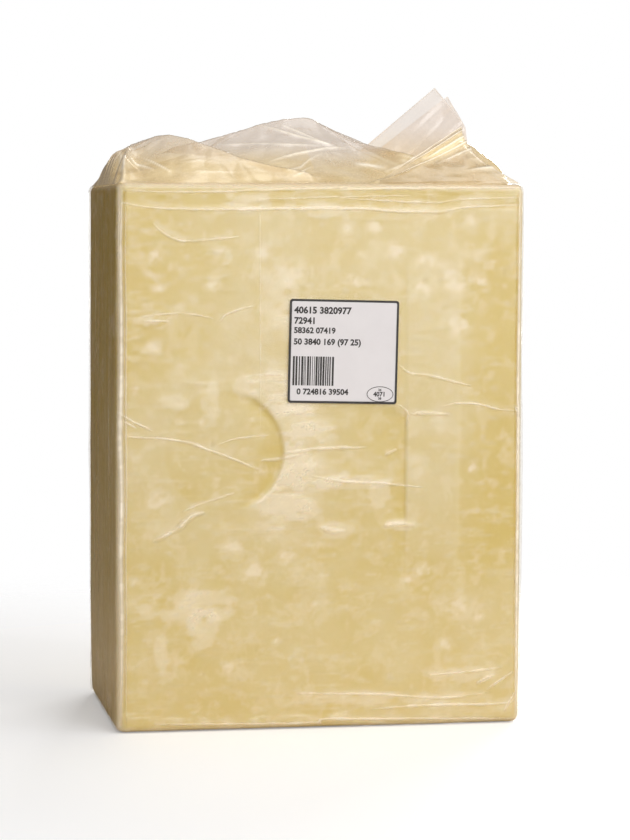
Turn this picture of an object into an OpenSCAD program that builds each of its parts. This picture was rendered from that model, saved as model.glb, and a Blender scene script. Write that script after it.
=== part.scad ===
// Bulk block of white cheddar in a clear vacuum bag, standing on its end.
// Origin: centre of the bottom face. +Z up, the labelled face looks along -Y, +X to its right.

/* [Cheese block] */
// Width of the block, along X
block_w = 280; // [200:1:400]
// Depth of the block, along Y
block_d = 180; // [120:1:300]
// Height of the block, along Z
block_h = 370; // [250:1:500]
// Rounding of the bottom edges
bottom_r = 5; // [2:0.5:6]
// Rounding of the top edges
top_r = 5; // [2:0.5:6]
// Rounding of the front left upright edge
front_left_r = 8; // [7:0.5:16]
// Rounding of the front right upright edge
front_right_r = 7; // [7:0.5:16]
// Rounding of the back right upright edge
back_right_r = 8; // [7:0.5:16]
// Rounding of the back left upright edge
back_left_r = 9; // [7:0.5:16]
// Extra rounding at the worn foot of the back left edge
worn_foot_r = 12; // [0:1:20]
// Height over which the worn foot fades out
worn_foot_h = 60; // [20:5:120]

/* [Gathered bag end] */
// Flat rim between the rounding of the block's top edges and the foot of the gathered film
bag_margin = 1; // [1:0.5:10]
// Upright lip at the foot of the gathered film
bag_lip = 1.5; // [0.5:0.5:4]
// Height of the film tent under the lobes
tent_h = 22; // [10:1:40]
// Distance from the block's left side to the left lobe's top
left_lobe_in = 42; // [30:1:60]
// Height of the left lobe
left_lobe_h = 32; // [20:1:45]
// Distance from the block's middle to the middle lobe's top, along X
middle_lobe_x = 2; // [-15:1:15]
// Height of the middle lobe
middle_lobe_h = 47; // [30:1:60]
// Distance from the block's right side to the corner ear's tip
ear_in = 43; // [35:1:60]
// Height of the corner ear
ear_h = 69; // [50:1:90]
// Climb of the ear's long edge, height for each length
ear_climb = 0.8; // [0.5:0.1:1.5]
// Fall of the ear's cut edge, height for each length
ear_fall = 2; // [1.2:0.1:3]
// How far the ear's back layer lies to the right of its front layer, and below it
ear_step = 8; // [0:1:15]
// Depth of the pleats in the gathered film
pleat_depth = 2.2; // [0:0.1:4]
// Distance from pleat to pleat
pleat_pitch = 27; // [18:1:50]

/* [Label] */
// Width of the label
label_w = 75; // [50:1:100]
// Height of the label
label_h = 70; // [50:1:100]
// Thickness of the label
label_t = 0.3; // [0.2:0.1:1]
// Rounding of the label's corners
label_r = 2; // [1:0.5:6]
// Distance from the block's middle to the label's, along X
label_x = 14.3; // [-50:0.1:50]
// Distance from the block's top to the label's middle
label_drop = 113.3; // [70:0.1:180]
// Tilt of the label, clockwise as seen from the front
label_tilt = 1.2; // [-5:0.1:5]

/* [Hidden] */

// Steps in a quarter round of the block's upright edges, its top and bottom edges and the label
corner_steps = 8;
rim_steps = 5;
label_steps = 6;
// Steps of the worn foot above the bottom rounding
foot_steps = 6;
// Stations of the gathered film along X, and from each long edge up to its crest
bag_stations = 74;
bag_rows = 13;
// How closely the rows crowd towards the crest
row_crowding = 1.7;
// How sharply the crest turns to a corner of the block at its two ends
crest_turn = 6;
// How full the tent stays towards its two ends
tent_fullness = 10;

bag_half_w = block_w / 2 - top_r - bag_margin;
bag_half_d = block_d / 2 - top_r - bag_margin;
bag_corner_r = max(front_left_r, front_right_r, back_right_r, back_left_r);
left_lobe_x = left_lobe_in - block_w / 2;
ear_x = block_w / 2 - ear_in;

// Each lobe: place, height, reach to the left and right, roundness left and right, sharpness across.
LOBES = [
    [left_lobe_x, left_lobe_h, left_lobe_in, 72, 3.4, 2, 1.6],
    [middle_lobe_x, middle_lobe_h, 110, 62, 1.6, 1.6, 2.2],
];

// Points of a rectangle with a rounding of its own at each corner, counter-clockwise from front left.
// The corners lie at front left, front right, back right and back left.
function rounded_outline(w, d, radii, steps) = [
    for (i = [0:3], s = [0:steps])
        let (
            r = radii[i],
            cx = (i == 1 || i == 2 ? 1 : -1) * (w / 2 - r),
            cy = (i > 1 ? 1 : -1) * (d / 2 - r),
            a = 180 + 90 * i + 90 * s / steps
        )
        [cx + r * cos(a), cy + r * sin(a)]
];

// Triangles of the walls between rings of n points each, and the two flat ends.
function ring_walls(rings, n) = [
    for (k = [0:rings - 2], j = [0:n - 1], half = [0:1])
        let (
            a = k * n + j,
            b = k * n + (j + 1) % n
        )
        half == 0 ? [a, a + n, b] : [b, a + n, b + n]
];
function ring_ends(rings, n) = [
    [for (j = [0:n - 1]) j],
    [for (j = [n - 1:-1:0]) (rings - 1) * n + j],
];

// Levels of the block: [height, how far the outline draws in].
bottom_levels = [
    for (s = [0:rim_steps])
        let (a = 90 * s / rim_steps)
        [bottom_r * (1 - cos(a)), bottom_r * (1 - sin(a))]
];
foot_levels = [
    for (s = [1:foot_steps]) [bottom_r + worn_foot_h * s / foot_steps, 0]
];
top_levels = [
    for (s = [0:rim_steps])
        let (a = 90 * s / rim_steps)
        [block_h - top_r * (1 - sin(a)), top_r * (1 - cos(a))]
];
block_levels = concat(bottom_levels, foot_levels, top_levels);

function worn(z) = worn_foot_r * pow(max(0, 1 - z / (bottom_r + worn_foot_h)), 2);
function edge_radii(z, draw_in) = [
    front_left_r - draw_in,
    front_right_r - draw_in,
    back_right_r - draw_in,
    back_left_r + worn(z) - draw_in
];

module cheese_block() {
    n = 4 * (corner_steps + 1);
    rings = len(block_levels);
    points = [
        for (level = block_levels)
            for (p = rounded_outline(
                block_w - 2 * level[1],
                block_d - 2 * level[1],
                edge_radii(level[0], level[1]),
                corner_steps
            ))
            [p[0], p[1], level[0]]
    ];
    color([0.87, 0.79, 0.57])
        polyhedron(points, concat(ring_ends(rings, n), ring_walls(rings, n)), convexity = 2);
}

// Height of one lobe's crest at x.
function lobe_height(lobe, x) =
    let (
        left = x < lobe[0],
        share = abs(x - lobe[0]) / (left ? lobe[2] : lobe[3])
    )
    share >= 1 ? 0 : lobe[1] * (1 - pow(share, left ? lobe[4] : lobe[5]));

// Height at x of one layer of the ear, a corner with two straight edges.
function ear_layer(x, tip_x, tip_h) =
    x < tip_x ? tip_h - ear_climb * (tip_x - x) : tip_h - ear_fall * (x - tip_x);

// Height of the ear's two layers at x.
function ear_height(x) =
    max(0, ear_layer(x, ear_x, ear_h), ear_layer(x, ear_x + ear_step, ear_h - ear_step));

// Height of the tent at x, nought at the block's two ends.
function tent_height(x) = tent_h * (1 - pow(abs(x) / bag_half_w, tent_fullness));

// Half depth of the film's foot at x, with rounded corners.
function foot_half_depth(x) =
    let (past = max(0, abs(x) - (bag_half_w - bag_corner_r)))
    bag_half_d - bag_corner_r + sqrt(max(0, pow(bag_corner_r, 2) - pow(past, 2)));

// The crest's place along Y: it ends at the back left and the front right corner.
function crest_y(x) =
    -sign(x) * 0.85 * foot_half_depth(x) * pow(abs(x) / bag_half_w, crest_turn);

// Zigzag between -1 and 1.
function zigzag(t) = 4 * abs(t - floor(t + 0.5)) - 1;

// Height of the film above the block's top, at x and a climb u from 0 at the foot to 1 at the crest.
function film_height(x, u, front) =
    let (
        tent = tent_height(x) * pow(sin(90 * u), 0.9),
        lobes = max([for (lobe = LOBES) lobe_height(lobe, x) * pow(u, lobe[6])]),
        ear = ear_height(x) * pow(u, 7),
        slant = (front ? 1 : -1) * 30 * u,
        pleat = pleat_depth * zigzag((x + slant) / pleat_pitch) * 4 * u * (1 - u)
            * min(1, tent_height(x) / tent_h)
    )
    bag_lip + max(tent, lobes, ear) * (1 - bag_lip / ear_h) + max(pleat, -bag_lip / 2);

function station_x(i) = bag_half_w * (2 * i / bag_stations - 1);

// Rows of points from the front foot over the crest to the back foot.
function film_row_points(j) =
    let (
        front = j <= bag_rows,
        u = front ? j / bag_rows : 2 - j / bag_rows,
        away = pow(1 - u, row_crowding)
    )
    [
        for (i = [0:bag_stations])
            let (
                x = station_x(i),
                foot_y = (front ? -1 : 1) * foot_half_depth(x)
            )
            [x, crest_y(x) * (1 - away) + foot_y * away, block_h + film_height(x, u, front)]
    ];

module bag() {
    across = bag_stations + 1;
    rows = 2 * bag_rows + 1;
    top_count = rows * across;
    top_points = [for (j = [0:rows - 1]) each film_row_points(j)];
    // Outline of the foot, counter-clockwise seen from above, as indices into the top points
    rim = concat(
        [for (i = [0:across - 1]) i],
        [for (j = [1:rows - 1]) j * across + across - 1],
        [for (i = [across - 2:-1:0]) (rows - 1) * across + i],
        [for (j = [rows - 2:-1:1]) j * across]
    );
    rim_count = len(rim);
    foot_points = [for (k = rim) [top_points[k][0], top_points[k][1], block_h]];
    top_faces = [
        for (j = [0:rows - 2], i = [0:across - 2], half = [0:1])
            let (
                a = j * across + i,
                b = a + 1
            )
            half == 0 ? [a, a + across, b] : [b, a + across, b + across]
    ];
    lip_faces = [
        for (k = [0:rim_count - 1], half = [0:1])
            let (
                next = (k + 1) % rim_count,
                a = top_count + k,
                b = top_count + next
            )
            half == 0 ? [a, rim[k], b] : [b, rim[k], rim[next]]
    ];
    // The flat foot: strips from the front edge to the back edge, then the two end edges
    back_first = across + rows - 2;
    foot_strips = [
        for (i = [1:across - 3], half = [0:1])
            let (
                a = top_count + i,
                b = a + 1,
                c = top_count + back_first + across - 1 - i,
                d = c - 1
            )
            half == 0 ? [a, b, c] : [b, d, c]
    ];
    right_end = [for (k = [across - 2:back_first + 1]) top_count + k];
    left_end = [for (k = [back_first + across - 2:rim_count + 1]) top_count + k % rim_count];
    color([0.88, 0.85, 0.80, 0.6])
        polyhedron(
            concat(top_points, foot_points),
            concat(top_faces, lip_faces, foot_strips, [right_end, left_end]),
            convexity = 6
        );
}

module label() {
    color([0.93, 0.93, 0.94])
        translate([label_x, -block_d / 2, block_h - label_drop])
            rotate([90, label_tilt, 0])
                linear_extrude(label_t)
                    polygon(rounded_outline(
                        label_w,
                        label_h,
                        [label_r, label_r, label_r, label_r],
                        label_steps
                    ));
}

cheese_block();
bag();
label();
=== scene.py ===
"""A bulk block of white cheddar on its end, in a clear vacuum bag with its sealed end gathered on top."""

import itertools
import math

import bpy
import numpy as np
from mathutils import Matrix, Vector


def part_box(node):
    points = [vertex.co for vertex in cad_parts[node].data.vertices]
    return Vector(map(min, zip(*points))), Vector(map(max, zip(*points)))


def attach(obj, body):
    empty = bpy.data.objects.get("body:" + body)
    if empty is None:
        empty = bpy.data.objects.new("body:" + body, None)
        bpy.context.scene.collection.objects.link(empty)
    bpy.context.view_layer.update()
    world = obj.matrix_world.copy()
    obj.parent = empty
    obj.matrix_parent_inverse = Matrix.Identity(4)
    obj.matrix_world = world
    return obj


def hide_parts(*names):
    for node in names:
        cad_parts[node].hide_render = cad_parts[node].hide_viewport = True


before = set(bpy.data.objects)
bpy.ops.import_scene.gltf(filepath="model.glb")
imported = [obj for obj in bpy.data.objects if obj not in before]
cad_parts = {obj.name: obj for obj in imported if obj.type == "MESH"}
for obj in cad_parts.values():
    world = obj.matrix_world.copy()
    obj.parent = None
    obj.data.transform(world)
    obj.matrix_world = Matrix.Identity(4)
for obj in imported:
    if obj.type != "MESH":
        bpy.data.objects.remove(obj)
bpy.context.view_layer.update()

MM = 0.001

# ---- sizes, all in millimetres

HALF_W, HALF_D, BLOCK_H = np.array(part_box("cheese_block")[1]) / MM
LABEL_LOW, LABEL_HIGH = [np.array(corner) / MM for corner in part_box("label")]

# The upright edges: front left, front right, back right and back left, which is worn rounder at its foot.
EDGE_SIDES = ((-1, -1), (1, -1), (1, 1), (-1, 1))
EDGE_STARTS = (180, 270, 0, 90)
EDGE_RADII = (8.0, 7.0, 8.0, 9.0)
WORN_FOOT_R, WORN_FOOT_H = 12.0, 60.0
RIM_R = 5.0
SMALLEST_R = 0.3

CHEESE_INSET = 0.7
FRONT_PITCH, SIDE_PITCH, BACK_PITCH, LEVEL_PITCH = 1.4, 5.0, 5.0, 1.6
CORNER_STEPS, RIM_STEPS, CAP_RINGS = 7, 6, 12
CAP_MIDDLE = 0.04


# ---- noise and soft shapes

def lattice_value(cell, seed):
    """A fixed random value from 0 to 1 for each whole-number cell."""
    x, y, z = cell[..., 0], cell[..., 1], cell[..., 2]
    h = (x * 374761393 + y * 668265263 + z * 1442695041 + seed * 974711) & 0xFFFFFFFF
    h = ((h ^ (h >> 13)) * 1274126177) & 0xFFFFFFFF
    return ((h ^ (h >> 16)) & 0xFFFF) / 65535.0


def soft_noise(points, size, seed):
    """Smooth noise from 0 to 1, in lumps of about the given size (one number, or one for each axis)."""
    q = points / np.array(size, float)
    cell = np.floor(q).astype(np.int64)
    t = q - cell
    t = t * t * (3 - 2 * t)
    total = np.zeros(points.shape[:-1])
    for corner in itertools.product((0, 1), repeat=3):
        weight = np.prod(np.where(np.array(corner) == 1, t, 1 - t), axis=-1)
        total += weight * lattice_value(cell + np.array(corner), seed)
    return total


def mean_of_layers(layer, layers):
    """The mean of layers of noise, each with half the weight of the one before."""
    return sum(layer(k) / 2**k for k in range(layers)) / sum(1 / 2**k for k in range(layers))


def layered_noise(points, size, seed, layers=3):
    """Noise from 0 to 1 with finer and finer lumps."""
    size = np.array(size, float)
    return mean_of_layers(lambda k: soft_noise(points, size / 2**k, seed + 17 * k), layers)


def ridged_noise(points, size, seed, layers=2):
    """Noise from 0 to 1 with sharp crests, as in creased film."""
    size = np.array(size, float)
    return mean_of_layers(
        lambda k: 1 - np.abs(2 * soft_noise(points, size / 1.9**k, seed + 31 * k) - 1), layers)


def rise(value, low, high):
    """From 0 up to 1 as a value goes from low to high."""
    t = np.clip((value - low) / (high - low), 0, 1)
    return t * t * (3 - 2 * t)


def fade(value, low, high):
    """From 1 down to 0 as a value goes from low to high."""
    return 1 - rise(value, low, high)


def between(value, low, full, going, gone):
    """0 up to low, 1 from full to going, and 0 again from gone."""
    return rise(value, low, full) * fade(value, going, gone)


def taper(share):
    """1 in the middle of a line and 0 at its ends."""
    return np.sqrt(np.clip(4 * share * (1 - share), 0, 1))


def spot(x, z, cx, cz, rx, rz):
    """A soft oval spot, 1 in the middle and 0 outside."""
    return fade(np.sqrt(((x - cx) / rx) ** 2 + ((z - cz) / rz) ** 2), 0.5, 1.0)


def mixed(first, second, share):
    """Places between two places, at each share of the way."""
    return np.array(first) * (1 - share) + np.array(second) * share


def round_corners(u, v, half_u, half_v, radius):
    """A grid over a rectangle, drawn in at its corners to a radius."""
    over_u = np.clip(np.abs(u) - (half_u - radius), 0, None)
    over_v = np.clip(np.abs(v) - (half_v - radius), 0, None)
    over = np.hypot(over_u, over_v)
    squeeze = np.where(over > 0, np.maximum(over_u, over_v) / np.maximum(over, 1e-9), 1)
    return (np.sign(u) * (np.minimum(np.abs(u), half_u - radius) + over_u * squeeze),
            np.sign(v) * (np.minimum(np.abs(v), half_v - radius) + over_v * squeeze))


def along_line(x, z, line):
    """Distance to a polyline, which side of it, and how far along it, for every point."""
    line = np.array(line, float)
    lengths = np.hypot(*np.diff(line, axis=0).T)
    starts = np.concatenate([[0], np.cumsum(lengths)])
    best = np.full(x.shape, 1e9)
    side, share = np.zeros(x.shape), np.zeros(x.shape)
    for k, (a, b) in enumerate(zip(line[:-1], line[1:])):
        d = (b - a) / lengths[k]
        t = np.clip((x - a[0]) * d[0] + (z - a[1]) * d[1], 0, lengths[k])
        far = np.hypot(x - a[0] - t * d[0], z - a[1] - t * d[1])
        nearer = far < best
        best = np.where(nearer, far, best)
        cross = d[0] * (z - a[1]) - d[1] * (x - a[0])
        side = np.where(nearer, np.sign(cross), side)
        share = np.where(nearer, (starts[k] + t) / starts[-1], share)
    return best, side, share


# ---- the block's surface

def edge_radii(z):
    """Rounding of the four upright edges at a height."""
    worn = WORN_FOOT_R * np.clip(1 - z / (RIM_R + WORN_FOOT_H), 0, 1) ** 2
    return (*EDGE_RADII[:3], EDGE_RADII[3] + worn)


def ring_outline(half_w, half_d, radii):
    """Points and outward directions round a rounded rectangle, fine on the front and coarse behind."""
    pitches = (FRONT_PITCH, SIDE_PITCH, BACK_PITCH, SIDE_PITCH)
    spans = (2 * HALF_W, 2 * HALF_D) * 2
    corners = [(side_x * (half_w - r), side_y * (half_d - r), r)
               for (side_x, side_y), r in zip(EDGE_SIDES, radii)]
    points, outward = [], []
    for i, (cx, cy, r) in enumerate(corners):
        for s in range(CORNER_STEPS + 1):
            a = math.radians(EDGE_STARTS[i] + 90 * s / CORNER_STEPS)
            points.append((cx + r * math.cos(a), cy + r * math.sin(a)))
            outward.append((math.cos(a), math.sin(a)))
        next_x, next_y, next_r = corners[(i + 1) % 4]
        here = np.array(points[-1])
        there = np.array([next_x + next_r * math.cos(a), next_y + next_r * math.sin(a)])
        steps = round(spans[i] / pitches[i])
        for s in range(1, steps):
            points.append(tuple(here + (there - here) * s / steps))
            outward.append((math.cos(a), math.sin(a)))
    return np.array(points), np.array(outward)


def block_rings(inset, with_top):
    """Rings of points and outward directions over the block, from the middle of its foot to its top."""
    quarter = np.radians(np.linspace(0, 90, RIM_STEPS + 1))
    top = BLOCK_H - inset
    rings = [(inset, None, share, -1.0) for share in np.linspace(CAP_MIDDLE, 1, CAP_RINGS, endpoint=False)]
    rings += [(inset + RIM_R * (1 - math.cos(a)), RIM_R * (1 - math.sin(a)), 1.0, -math.cos(a))
              for a in quarter]
    rings += [(z, 0.0, 1.0, 0.0)
              for z in np.arange(RIM_R + inset, BLOCK_H - RIM_R - inset, LEVEL_PITCH)[1:]]
    rings += [(top - RIM_R * (1 - math.cos(a)), RIM_R * (1 - math.sin(a)), 1.0, math.cos(a))
              for a in quarter[::-1]]
    if with_top:
        rings += [(top, None, share, 1.0) for share in np.linspace(1, CAP_MIDDLE, CAP_RINGS + 1)[1:]]
    points, outward = [], []
    for z, draw_in, share, up in rings:
        flat = draw_in is None
        inward = inset + (RIM_R if flat else draw_in)
        radii = [max(r - inward, SMALLEST_R) for r in edge_radii(z)]
        ring, out = ring_outline(HALF_W - inward, HALF_D - inward, radii)
        level = 0.0 if flat else math.sqrt(1 - up * up)
        points.append(np.column_stack([ring * share, np.full(len(ring), z)]))
        outward.append(np.column_stack([out * level, np.full(len(ring), up)]))
    return np.array(points), np.array(outward)


# Raised folds of the film on the front: places along X and Z, the fold's height and its half width.
LONG = 136
FRONT_FOLDS = [
    # the ledge under the top band, and the streaks within the band
    ([(-LONG, 356), (-111, 352.5), (-66, 352), (18, 353), (46, 351.5), (80, 351), (97, 354), (LONG, 356)],
     0.65, 1.1),
    ([(-LONG, 364), (-81, 363.5), (18, 367)], 0.35, 0.8),
    ([(11, 365.5), (66, 367), (LONG, 367.5)], 0.45, 0.9),
    ([(11, 360), (50, 358), (80, 357.5), (101, 360), (LONG, 361)], 0.5, 0.8),
    ([(-40, 359), (10, 360.5), (60, 362)], 0.3, 0.6),
    # the upright line of the bag's side weld
    ([(-43, 366), (-42.5, 290), (-42, 205)], 0.12, 0.4),
    # the long crease from the left edge into the round mark
    ([(-131, 200), (-109, 199), (-91, 196), (-74, 190), (-56, 183), (-41, 176)], 1.0, 1.1),
    ([(-139, 217), (-129, 211), (-115, 204)], 0.6, 0.9),
    ([(-135, 211), (-126, 206)], 0.4, 0.7),
    # the slanting crease under the mark
    ([(-115, 129.5), (-100, 137), (-89, 146), (-80, 149)], 0.9, 1.7),
    ([(-95, 149.5), (-83, 154.5), (-60, 162)], 0.6, 0.8),
    # lines in and beside the mark
    ([(-70, 195), (-59, 198.5), (-36, 200.5)], 0.4, 0.7),
    ([(-53, 240), (-41, 241.5), (-27, 241)], 0.3, 0.6),
    ([(-27, 188.5), (-4, 191), (18, 191.5), (31, 192)], 0.6, 1.3),
    ([(-42, 183.5), (-29, 184.5), (-15, 187)], 0.4, 1.2),
    ([(-7, 173), (6, 170), (26, 168), (42, 167), (71, 164)], 0.5, 1.0),
    ([(43, 138), (54, 139), (64, 138)], 0.5, 1.5),
    ([(-1, 138), (8, 135), (17, 135)], 0.5, 1.9),
    ([(43, 186), (52, 190.5)], 0.4, 1.2),
    # the crease from the right edge, and the folds between it and the label
    ([(83, 219), (92, 221), (108, 220.5), (123, 217), (LONG, 215.5)], 0.9, 0.8),
    ([(134, 219), (137, 211)], 0.8, 1.4),
    ([(61, 214), (71, 214.5), (89, 213.5)], 0.5, 1.6),
    ([(53, 247), (61, 242), (77, 239.5), (92, 235.5), (103, 233)], 0.5, 1.1),
    ([(52, 221), (59, 215), (58, 205)], 0.4, 0.7),
    # upper left
    ([(-115, 342.5), (-106, 335), (-95, 331), (-75, 332), (-57, 334)], 0.6, 0.9),
    ([(-122, 280.5), (-104, 282.5), (-89, 282), (-74, 279)], 0.4, 0.6),
    ([(-121, 277.5), (-104, 277.5)], 0.4, 0.9),
    ([(-70, 277), (-65, 282), (-47, 288)], 0.4, 0.8),
    # near the foot
    ([(75, 35), (108, 37), (127, 39)], 0.4, 0.9),
    ([(-16, 24.5), (32, 23), (86, 19), (119, 22)], 0.5, 1.0),
    ([(35, 12.5), (73, 14), (127, 14), (137, 17.5)], 0.6, 0.9),
    ([(-115, 6), (-10, 4), (3, 6.5), (60, 5), (LONG, 3)], 0.5, 0.9),
    ([(116, 23.5), (127, 31), (135, 36)], 0.5, 1.0),
    ([(108, 28), (122, 34)], 0.5, 1.4),
    ([(128, 8), (136, 22)], 0.5, 0.9),
]

# Pale curds that show through on the front: place along X and Z, and size.
FRONT_CURDS = [
    (16, 341, 4), (35, 341, 4), (49, 325, 5), (27, 322, 3), (72, 318, 6), (101, 345, 4), (91, 305, 10),
    (110, 303, 4), (26, 304, 5), (68, 300, 5), (93, 275, 7), (-41, 323, 5), (-19, 310, 7), (-114, 321, 3),
    (-68, 325, 3), (-75, 302, 4), (-112, 300, 3), (-115, 259, 4), (-25, 118, 4), (-46, 109, 6), (94, 81, 8),
    (86, 55, 4), (-64, 43, 5), (-10, 24, 4), (71, 107, 5), (109, 74, 3), (-58, 126, 5), (-22, 120, 4),
    (-5, 86, 2), (-30, 60, 2), (104, 178, 3), (-113, 157, 7), (-83, 208, 3), (-126, 231, 2), (60, 100, 3),
]

# Patches where the film stands off the cheese and looks milky: place along X and Z, and half sizes.
FRONT_POCKETS = [
    (-109, 56, 6, 15), (-81, 70, 12, 15), (-18, 46, 7, 6), (-76, 222, 7, 16), (-100, 223, 12, 6),
    (-52, 234, 10, 8), (-30, 292, 14, 26), (-118, 278, 9, 4), (-14, 150, 14, 8), (10, 136, 14, 6),
    (54, 138, 15, 4), (-6, 172, 30, 9), (20, 168, 34, 5), (-8, 202, 22, 9), (40, 160, 8, 12),
    (98, 35, 28, 6), (40, 20, 60, 5), (-95, 85, 40, 12), (0, 352, 20, 6), (-48, 357, 16, 6),
]

# The round mark pressed into the front: its middle along X and Z, its radius and the softness of its edge.
ROUND_MARK = (-66.5, 190, 39.5)
MARK_EDGE = 1.2
# The pale band: left, right, foot and top, how it fades in height, and the hollow of the step on its left.
PALE_BAND = (58, 95, 135, 330)
BAND_FADE = 40
STEP_LOW, STEP_HIGH, STEP_REACH = 142, 216, 24
# The ledge below the top: where it starts and is full, down from the top.
LEDGE_START, LEDGE_FULL = 17.5, 15.5
# How deep each is pressed in, and how uneven the cheese is over wide and small lumps.
MARK_DEPTH, MARK_RIM_DEPTH, STEP_DEPTH, BAND_RISE, LEDGE_DEPTH = 0.25, 0.45, 0.6, 0.3, 0.4
WIDE_UNEVEN, SMALL_UNEVEN = 0.8, 0.3
PIT_DEPTH = 0.4


def on_face(outward):
    """How much each point belongs to the flat front."""
    return rise(-outward[..., 1], 0.6, 0.98)


def pressed_relief(points, outward):
    """Depth of what is pressed into the cheese, inwards, and how closely the film touches each point, with
    painted shade and painted bounce light mixed into the same mask.
    """
    x, z = points[..., 0], points[..., 2]
    front = on_face(outward)
    cx, cz, r = ROUND_MARK
    far = np.hypot(x - cx, z - cz)
    in_mark = fade(far, r - MARK_EDGE, r + MARK_EDGE) * rise(x, cx + 2, cx + 27)
    rim_of_mark = in_mark * rise(far, r - 20, r)
    left, right, low, high = PALE_BAND
    in_band = (between(x, left - 0.8, left + 0.8, right - 2, right + 2)
               * between(z, low - BAND_FADE, low, high - BAND_FADE, high))
    by_step = (between(x, left - STEP_REACH, left, left - 0.6, left + 0.6)
               * between(z, STEP_LOW - 8, STEP_LOW + 6, STEP_HIGH - 4, STEP_HIGH + 4))
    under_ledge = rise(z, BLOCK_H - LEDGE_START, BLOCK_H - LEDGE_FULL)
    wide, small = layered_noise(points, 70, 5), layered_noise(points, 18, 9)
    depth = (MARK_DEPTH * in_mark + MARK_RIM_DEPTH * rim_of_mark + STEP_DEPTH * by_step - BAND_RISE * in_band
             + LEDGE_DEPTH * under_ledge) * front
    depth += WIDE_UNEVEN * (wide - 0.5) + SMALL_UNEVEN * (small - 0.5)
    by_right_edge = rise(x, right - 2, right + 3) * between(z, 90, 140, 320, 350)
    cloud = fade(far, r + 2, r + 60) * rise(far, r, r + 3)
    # Paler towards the foot of the front, a painted floor bounce; darker at the upper left of the front.
    contact_and_shade = (0.36 + 0.2 * in_mark + 0.4 * rim_of_mark + 0.5 * by_step - 0.12 * fade(z, 40, 140)
               - 0.6 * in_band + 0.5 * under_ledge - 0.5 * cloud
               + 0.55 * by_right_edge * rise(x, right - 5, HALF_W - 20)
               + 0.55 * fade(x, -HALF_W + 20, -HALF_W + 90) * rise(z, 160, 260))
    # On the sides this is painted shade: the left side darker towards its top and paler towards its foot,
    # where floor bounce light falls.
    on_left = np.clip(-outward[..., 0], 0, 1)
    behind = 0.42 + (0.7 * rise(z, 110, 330) - 0.15) * on_left
    contact_and_shade = np.where(front > 0.5, contact_and_shade, behind) + 0.9 * (wide - 0.5) + 0.6 * (small - 0.5)
    return depth, np.clip(contact_and_shade, 0, 1)


def curd_spots(points, outward):
    """Pale curds in the cheese, the named ones on the front and chance ones all round."""
    x, z = points[..., 0], points[..., 2]
    front = on_face(outward)
    x = x + 5 * (layered_noise(points, 6, 21) - 0.5)
    z = z + 5 * (layered_noise(points, 6, 23) - 0.5)
    pale, halo = np.zeros(x.shape), np.zeros(x.shape)
    for cx, cz, size in FRONT_CURDS:
        pale = np.maximum(pale, spot(x, z, cx, cz, size * 1.1, size * 0.9) * front)
        halo = np.maximum(halo, spot(x, z, cx, cz, size * 2.2, size * 1.7) * front)
    broken = layered_noise(points, (4.5, 4.5, 3.5), 35)
    pale = 0.6 * rise(pale + 1.3 * (broken - 0.5), 0.2, 0.9) * (0.6 + 0.6 * broken)
    pale += 0.4 * halo * rise(broken, 0.3, 0.6)
    chance = rise(layered_noise(points, (9, 9, 7), 33), 0.66, 0.8)
    return np.clip(pale + 0.35 * chance, 0, 1)


def near_label(x, z, border=5):
    """How much a place on the front lies under the label."""
    shares = [between(t, low - border, low, high, high + border)
              for t, low, high in ((x, LABEL_LOW[0], LABEL_HIGH[0]), (z, LABEL_LOW[2], LABEL_HIGH[2]))]
    return shares[0] * shares[1]


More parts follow.
